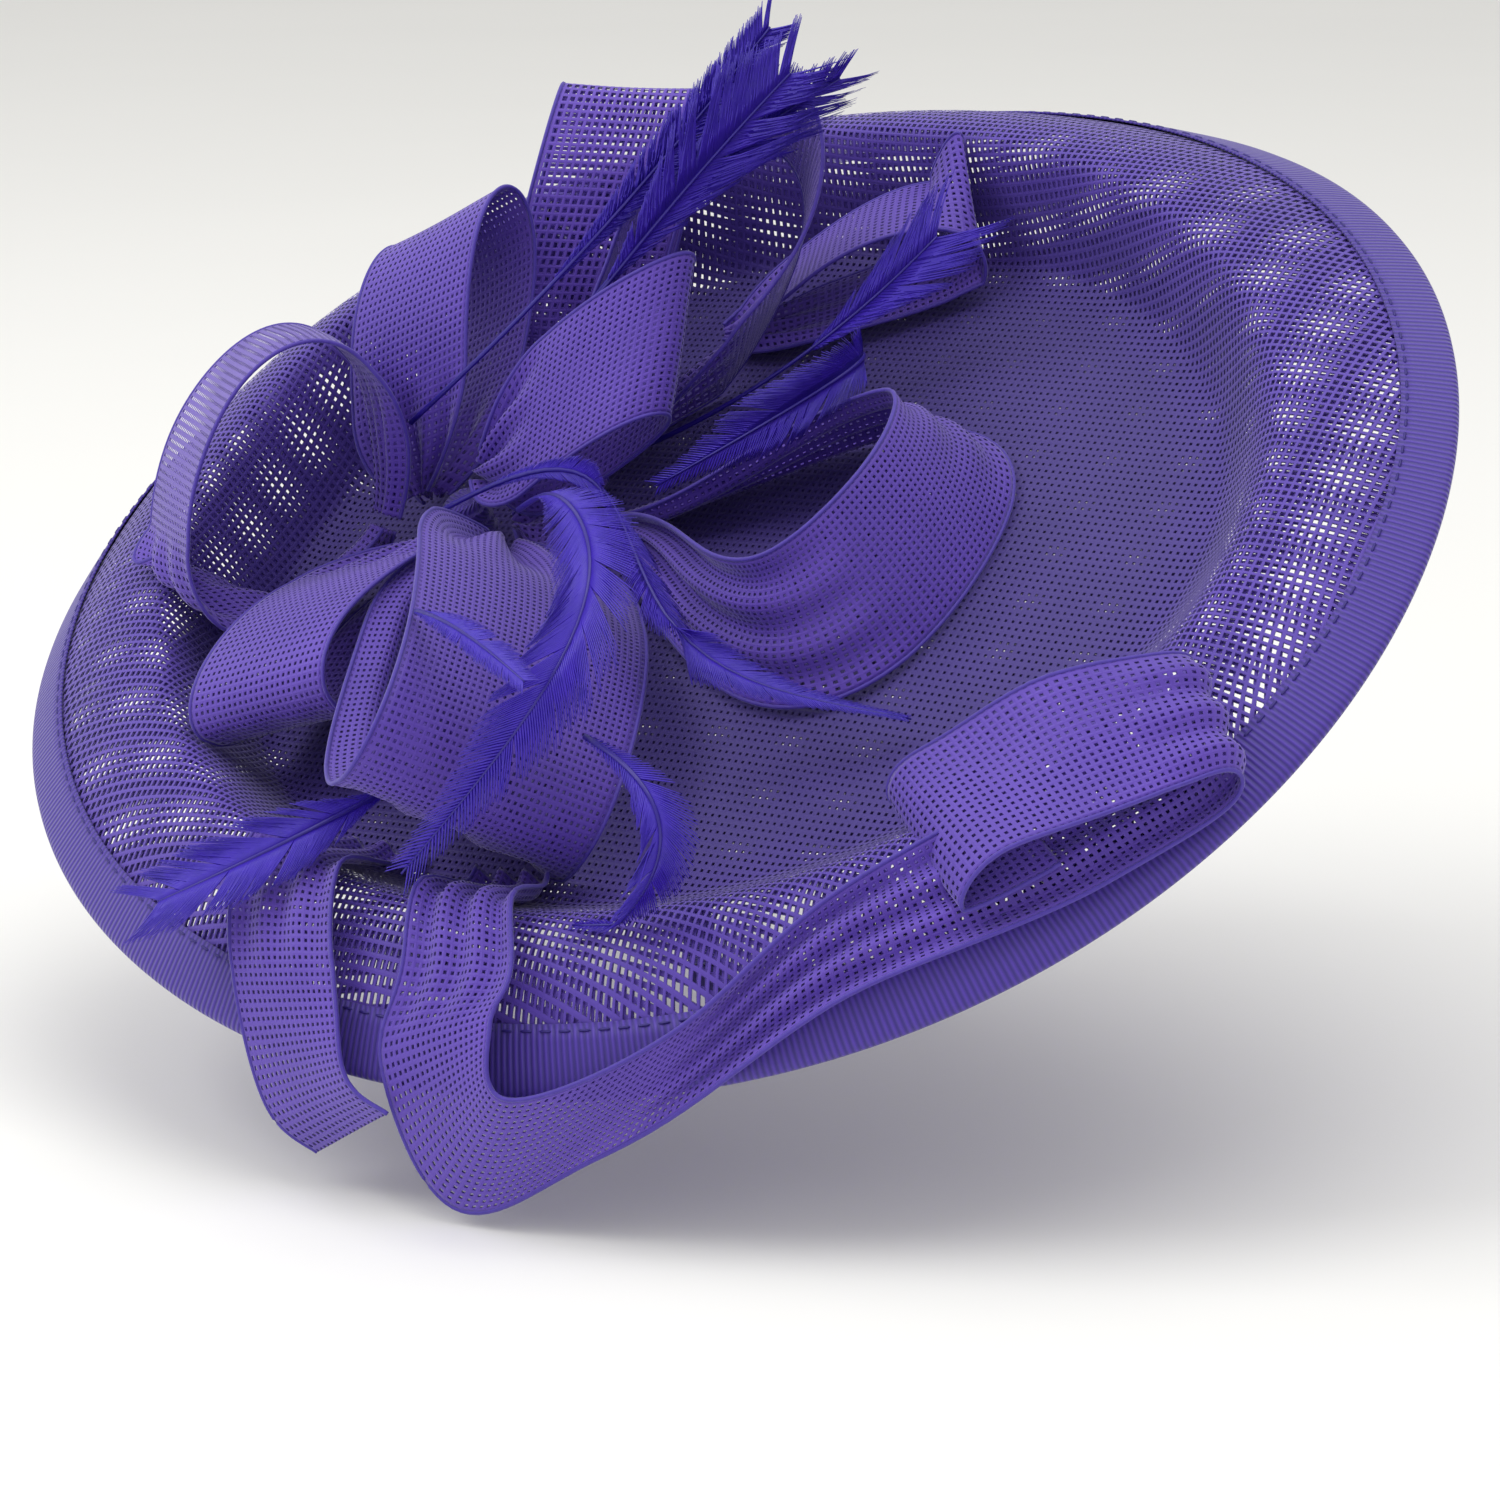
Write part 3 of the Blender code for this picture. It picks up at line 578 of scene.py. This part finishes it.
def make_binding(finish):
    """Ribbon folded over the rim, with its ribs across it."""
    middle = LAYER_SPACING / 2
    leg = middle + MESH_THICKNESS / 2 + CLEARANCE + 0.25
    section = [(BINDING_WIDTH, leg), (9.0, leg), (6.0, leg), (3.0, leg), (1.6, leg), (0.8, leg * 0.85),
               (0.4, leg * 0.5), (0.2, 0.0), (0.4, -leg * 0.5), (0.8, -leg * 0.85), (1.6, -leg),
               (3.0, -leg), (6.0, -leg), (9.0, -leg), (BINDING_WIDTH, -leg)]
    sides = 360
    points, maps = [], []
    run = 0.0
    before = None
    for side in range(sides + 1):
        rim = None
        for number, (inward, height) in enumerate(section):
            spot, _, normal = rim_frame(360 * side / sides, inward)
            point = spot + normal * (middle + height)
            rim = point if number == 7 else rim
            points.append(point)
            maps.append((0.0, number * 25.0 / 14 * MM))
        if before is not None:
            run += float(np.linalg.norm(rim - before))
        before = rim
        for number in range(len(section)):
            maps[-1 - number] = (run * MM, maps[-1 - number][1])
    made = add_piece("rim_binding", points, grid_faces(sides + 1, len(section)), finish,
                     ["edge_binding"], maps=maps, wall=0.5)
    return run


def make_stitches(finish):
    """Running stitch that holds the binding, near its inner edge, on the top side."""
    count = 230
    points, faces = [], []
    for number in range(count):
        begin, end = 360 * number / count, 360 * (number + 0.6) / count
        ends = []
        for bearing in (begin, end):
            spot, inwards, normal = rim_frame(bearing, BINDING_WIDTH - 1.2)
            ends.append((spot + normal * (LAYER_SPACING + 1.0), inwards, normal))
        here = len(points)
        for share, size in ((0.0, 0.1), (0.15, 0.32), (0.85, 0.32), (1.0, 0.1)):
            centre = ends[0][0] * (1 - share) + ends[1][0] * share
            for turn in range(6):
                angle = math.pi * turn / 3
                offset = ends[0][1] * math.cos(angle) + ends[0][2] * math.sin(angle)
                points.append(centre + offset * size)
        faces += [tuple(here + corner for corner in face) for face in grid_faces(4, 6, closed=True)]
        faces.append(tuple(here + n for n in reversed(range(6))))
        faces.append(tuple(here + 18 + n for n in range(6)))
    return add_piece("rim_stitches", points, faces, finish, ())


def make_gather(finish):
    """The wound and drawn-in knot that the loops leave, with the edges of its turns standing out."""
    sides, rows = 48, 40
    top = above(*GATHER, 0.0)[2] + CLEARANCE
    points, maps = [], []
    for row in range(rows + 1):
        share = row / rows
        for side in range(sides):
            angle = 2 * math.pi * side / sides
            turn = (share * 4 + side / sides) % 1.0
            radius = WRAP_RADIUS * (0.84 + 0.16 * turn) * (1 - 0.25 * (2 * share - 1) ** 4)
            points.append(np.array([GATHER[0] + math.cos(angle) * radius, GATHER[1] + math.sin(angle) * radius,
                                    top + share * (WRAP_HEIGHT - CLEARANCE)]))
            maps.append((angle * radius * MM, share * WRAP_HEIGHT * MM))
    faces = grid_faces(rows + 1, sides, closed=True)
    faces.append(tuple(reversed(range(sides))))
    faces.append(tuple(range(rows * sides, (rows + 1) * sides)))
    add_piece("gather_wound", points, faces, finish, ["gather_wrap"], maps=maps)


def make_wrap(name, start, end, body, finish, replaced):
    """Satin ribbon wound along the headband: each turn's edge stands a little over the one before."""
    pitch, sides = 7.0, 40
    width, depth = 9.4, 2.4
    steps = int(abs(end - start) * math.pi / 180 * BAND_RADIUS / 0.6)
    points, maps = [], []
    middle = BAND_RADIUS - depth / 2
    for step in range(steps + 1):
        angle = math.radians(start + (end - start) * step / steps)
        run = step * 0.6
        for side in range(sides):
            around = 2 * math.pi * side / sides
            turn = (run / pitch + side / sides) % 1.0
            swell = 0.92 + 0.08 * turn
            across = abs(math.cos(around)) ** 0.35 * math.copysign(1, math.cos(around)) * width / 2 * swell
            out = abs(math.sin(around)) ** 0.5 * math.copysign(1, math.sin(around)) * depth / 2 * swell
            radius = middle + out
            points.append(np.array([math.sin(angle) * radius, across,
                                    math.cos(angle) * radius - BAND_RADIUS - CLEARANCE]))
            maps.append((run * MM, side / sides * 2 * (width + depth) * MM))
    faces = grid_faces(steps + 1, sides, closed=True)
    faces.append(tuple(reversed(range(sides))))
    faces.append(tuple(range(steps * sides, (steps + 1) * sides)))
    if end < start:
        faces = [tuple(reversed(face)) for face in faces]
    add_piece(name, points, faces, finish, replaced, body=body, maps=maps)


MATERIALS = {}


class FascinatorSizes(bpy.types.PropertyGroup):
    """Sizes that a maker would change."""
    mesh_pitch: bpy.props.FloatProperty(name="Mesh pitch", description="Spacing of the saucer's threads",
                                        default=2.2 * MM, unit="LENGTH", precision=4)
    ribbon_pitch: bpy.props.FloatProperty(name="Ribbon pitch", description="Spacing of the ribbon's threads",
                                          default=1.9 * MM, unit="LENGTH", precision=4)
    rib_pitch: bpy.props.FloatProperty(name="Binding rib", description="Spacing of the binding's ribs",
                                       default=1.5 * MM, unit="LENGTH", precision=4)


class FascinatorColours(bpy.types.PropertyGroup):
    """Dye colours, as linear colours."""
    net_light: bpy.props.FloatVectorProperty(name="Mesh", description="Light yarn of the saucer's mesh",
                                             subtype="COLOR", size=4, default=linear("583AB0"))
    ribbon_light: bpy.props.FloatVectorProperty(name="Ribbon", description="Light yarn of the ribbon",
                                                subtype="COLOR", size=4, default=linear("6040B8"))


class FASCINATOR_OT_finishes(bpy.types.Operator):
    """Makes every cloth, feather and metal finish"""
    bl_idname = "fascinator.finishes"
    bl_label = "Finishes"

    def execute(self, context):
        sizes = context.scene.fascinator_sizes
        colours = context.scene.fascinator_colours
        mesh, close = sizes.mesh_pitch / MM, sizes.ribbon_pitch / MM
        # Stiff open polyester mesh: the holes let the backdrop through, and two layers make shifting bands.
        MATERIALS["saucer net, open polyester"] = net_material(
            "saucer net, open polyester", colours.net_light, "3E2590", (mesh, mesh * 0.82))
        # Ribbon of the same yarn, closer set, so that light shows only in small points.
        MATERIALS["ribbon net, close polyester"] = net_material(
            "ribbon net, close polyester", colours.ribbon_light, "472B9A", (close, close * 0.82), 0.42, hem=True)
        MATERIALS["sheer net, open polyester"] = net_material(
            "sheer net, open polyester", linear("6848BE"), "4C309E", (close * 1.15, close), 0.6, hem=True)
        # Spun cord in the hems is denser, and so darker than the net.
        MATERIALS["hem cord, spun polyester"] = grained_material(
            "hem cord, spun polyester", "4A32A8", "35208A", 900.0, 0.6, 0.2)
        MATERIALS["binding, woven grosgrain"] = ribbed_material(
            "binding, woven grosgrain", "4A2EA4", "2E1A7C", sizes.rib_pitch / MM, 0, 0.5, 0.2)
        MATERIALS["wrap, wound satin"] = ribbed_material(
            "wrap, wound satin", "402C9C", "36248C", 0.5, 0, 0.32, 0.3)
        # Dyed goose barbs are darker and bluer than the cloth, and catch the light along their length.
        MATERIALS["barbs, dyed goose feather"] = grained_material(
            "barbs, dyed goose feather", "4426C0", "2A149A", 260.0, 0.4)
        MATERIALS["quill, dyed keratin"] = grained_material(
            "quill, dyed keratin", "2C1890", "20107A", 400.0, 0.35)
        MATERIALS["thread, polyester"] = grained_material(
            "thread, polyester", "2E1C80", "241468", 900.0, 0.5)
        MATERIALS["felt, stiffened wool"] = grained_material(
            "felt, stiffened wool", "30206E", "201450", 700.0, 0.95, 0.4, depth=0.4)
        MATERIALS["strip, sprung steel"] = grained_material(
            "strip, sprung steel", "C4C7CB", "A8ABB0", 300.0, 0.3, metallic=1.0, depth=0.02)
        MATERIALS["tip cap, moulded vinyl"] = grained_material(
            "tip cap, moulded vinyl", "2C1C70", "26185F", 500.0, 0.45, depth=0.05)
        carried = {"base_patch": "felt, stiffened wool", "rim_wire": "thread, polyester",
                   "band_tip_right": "tip cap, moulded vinyl", "band_tip_left": "tip cap, moulded vinyl"}
        for part in ("centre", "right", "left"):
            carried["band_core_" + part] = "strip, sprung steel"
        for name, finish in carried.items():
            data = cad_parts[name].data
            data.materials.clear()
            data.materials.append(MATERIALS[finish])
        return {"FINISHED"}


class FASCINATOR_OT_saucer(bpy.types.Operator):
    """Makes the two mesh layers, the rim binding and its stitching"""
    bl_idname = "fascinator.saucer"
    bl_label = "Saucer"

    def execute(self, context):
        net = MATERIALS["saucer net, open polyester"]
        make_saucer("mesh_lower", 0.0, 0.0, net, ["saucer_lower_layer"])
        make_saucer("mesh_upper", LAYER_SPACING, 6.5, net, ["saucer_upper_layer"])
        stitches = make_stitches(MATERIALS["thread, polyester"])
        make_binding(MATERIALS["binding, woven grosgrain"])
        return {"FINISHED"}


class FASCINATOR_OT_ribbons(bpy.types.Operator):
    """Makes the ribbon loops, the ribbons on the brim and the wound knot"""
    bl_idname = "fascinator.ribbons"
    bl_label = "Ribbons"

    def execute(self, context):
        make_gather(MATERIALS["binding, woven grosgrain"])
        for name in LOOPS:
            sheer = "sheer" in name
            kind = "sheer net, open polyester" if sheer else "ribbon net, close polyester"
            loop_ribbon(name, MATERIALS[kind])
        for name in BANDS:
            band_ribbon(name, MATERIALS["ribbon net, close polyester"])
        return {"FINISHED"}


class FASCINATOR_OT_feathers(bpy.types.Operator):
    """Makes the dyed feathers"""
    bl_idname = "fascinator.feathers"
    bl_label = "Feathers"

    def execute(self, context):
        for name in FEATHERS:
            feather(name, MATERIALS["barbs, dyed goose feather"], MATERIALS["quill, dyed keratin"])
        return {"FINISHED"}


class FASCINATOR_OT_headband(bpy.types.Operator):
    """Makes the satin that is wound along the headband and its two arms"""
    bl_idname = "fascinator.headband"
    bl_label = "Headband"

    def execute(self, context):
        finish = MATERIALS["wrap, wound satin"]
        gap = math.degrees(0.2 / BAND_RADIUS)
        tip = math.degrees(9.0 / BAND_RADIUS)
        crown = TILT_TO_RIGHT
        make_wrap("wound_wrap_centre", crown - BAND_ARM_FROM + gap, crown + BAND_ARM_FROM - gap, "hat", finish,
                  ["band_wrap_centre"])
        for side, name in ((-1, "right"), (1, "left")):
            start = crown + side * (BAND_ARM_FROM + gap)
            end = crown + side * (BAND_SPAN - tip - 2 * gap)
            make_wrap("wound_wrap_" + name, start, end, name + "_arm", finish, ["band_wrap_" + name])
        return {"FINISHED"}


class FASCINATOR_OT_stage(bpy.types.Operator):
    """Makes the floor, the soft light and the camera"""
    bl_idname = "fascinator.stage"
    bl_label = "Stage"

    def execute(self, context):
        for old in context.selected_objects:
            old.select_set(False)
        bpy.ops.mesh.primitive_plane_add(size=24.0, location=(0, 0, CAD_BOX[0].z - FLOOR_GAP))
        floor = context.active_object
        floor.name = "studio_floor"
        bpy.ops.object.transform_apply(location=True, rotation=True, scale=True)
        paper = grained_material("paper, matt seamless", "F1F1EE", "EEEEEB", 3.0, 0.9, depth=0.0)
        floor.data.materials.append(paper)
        world = bpy.data.worlds.new("soft studio")
        world.use_nodes = True
        world.node_tree.nodes["Background"].inputs[0].default_value = (1.0, 0.99, 0.98, 1.0)
        world.node_tree.nodes["Background"].inputs[1].default_value = 0.75
        context.scene.world = world
        for name, place, size, power in (("window_left", (-1.2, 1.6, 1.8), 1.6, 26.0),
                                         ("overhead", (-0.2, -0.4, 2.4), 2.0, 24.0)):
            lamp = bpy.data.lights.new(name, "AREA")
            lamp.size = size
            lamp.energy = power
            made = bpy.data.objects.new(name, lamp)
            context.scene.collection.objects.link(made)
            made.location = place
            made.rotation_euler = (-Vector(place)).to_track_quat("-Z", "Y").to_euler()
        lens = bpy.data.cameras.new("camera")
        lens.lens = 112.0
        lens.sensor_width = 36.0
        made = bpy.data.objects.new("camera", lens)
        context.scene.collection.objects.link(made)
        back = Vector((-0.883, -0.412, 0.225))
        made.location = Vector((-0.0075, -0.0091, -0.0432)) + back * 1.1
        made.rotation_euler = (-back).to_track_quat("-Z", "Y").to_euler()
        context.scene.camera = made
        context.scene.view_settings.view_transform = "Standard"
        return {"FINISHED"}


class FASCINATOR_PT_panel(bpy.types.Panel):
    """Lists the fascinator's steps in the sidebar"""
    bl_idname = "FASCINATOR_PT_panel"
    bl_label = "Fascinator"
    bl_space_type = "VIEW_3D"
    bl_region_type = "UI"
    bl_category = "Fascinator"

    def draw(self, context):
        for group in (context.scene.fascinator_sizes, context.scene.fascinator_colours):
            for key in group.__annotations__:
                self.layout.prop(group, key)
        for step in STEPS:
            self.layout.operator(step.bl_idname)


STEPS = (FASCINATOR_OT_stage, FASCINATOR_OT_finishes, FASCINATOR_OT_saucer, FASCINATOR_OT_ribbons,
         FASCINATOR_OT_feathers, FASCINATOR_OT_headband)
CLASSES = (FascinatorSizes, FascinatorColours, *STEPS, FASCINATOR_PT_panel)


def register():
    for made in CLASSES:
        bpy.utils.register_class(made)
    bpy.types.Scene.fascinator_sizes = bpy.props.PointerProperty(type=FascinatorSizes)
    bpy.types.Scene.fascinator_colours = bpy.props.PointerProperty(type=FascinatorColours)


def unregister():
    del bpy.types.Scene.fascinator_colours
    del bpy.types.Scene.fascinator_sizes
    for made in reversed(CLASSES):
        bpy.utils.unregister_class(made)


def main():
    register()
    for step in STEPS:
        group, name = step.bl_idname.split(".")
        getattr(getattr(bpy.ops, group), name)()


if __name__ == "__main__":
    main()
